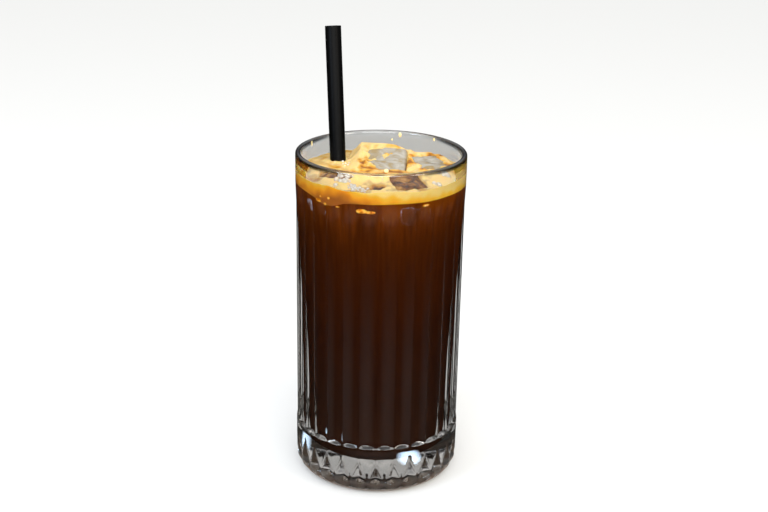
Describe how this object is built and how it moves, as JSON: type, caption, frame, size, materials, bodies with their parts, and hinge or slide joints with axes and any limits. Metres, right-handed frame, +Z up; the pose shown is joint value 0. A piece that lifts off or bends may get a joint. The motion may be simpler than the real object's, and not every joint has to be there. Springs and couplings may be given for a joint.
{
  "type": "iced americano",
  "caption": "Tall fluted glass tumbler filled with iced black coffee under a golden crema, with ice cubes showing through the crema and a black drinking straw leaning back in it.",
  "frame": {"origin": "centre of the tumbler's foot, on the plane that it stands on", "axes": "+Z up along the tumbler, -Y towards the side that the picture shows, +X to the right in it"},
  "size_m": [0.0744, 0.0744, 0.2002],
  "materials": {
    "pressed_glass": "clear, polished",
    "coffee": "dark clear liquid",
    "crema": "fine foam",
    "ice": "clear, wet",
    "black_plastic": "satin"
  },
  "bodies": {
    "root": {"glass": "pressed_glass", "coffee": "coffee", "crema": "crema", "ice_cube_back": "ice", "ice_cube_right": "ice", "ice_cube_left": "ice", "ice_cube_front": "ice", "straw": "black_plastic"}
  },
  "joints": []
}
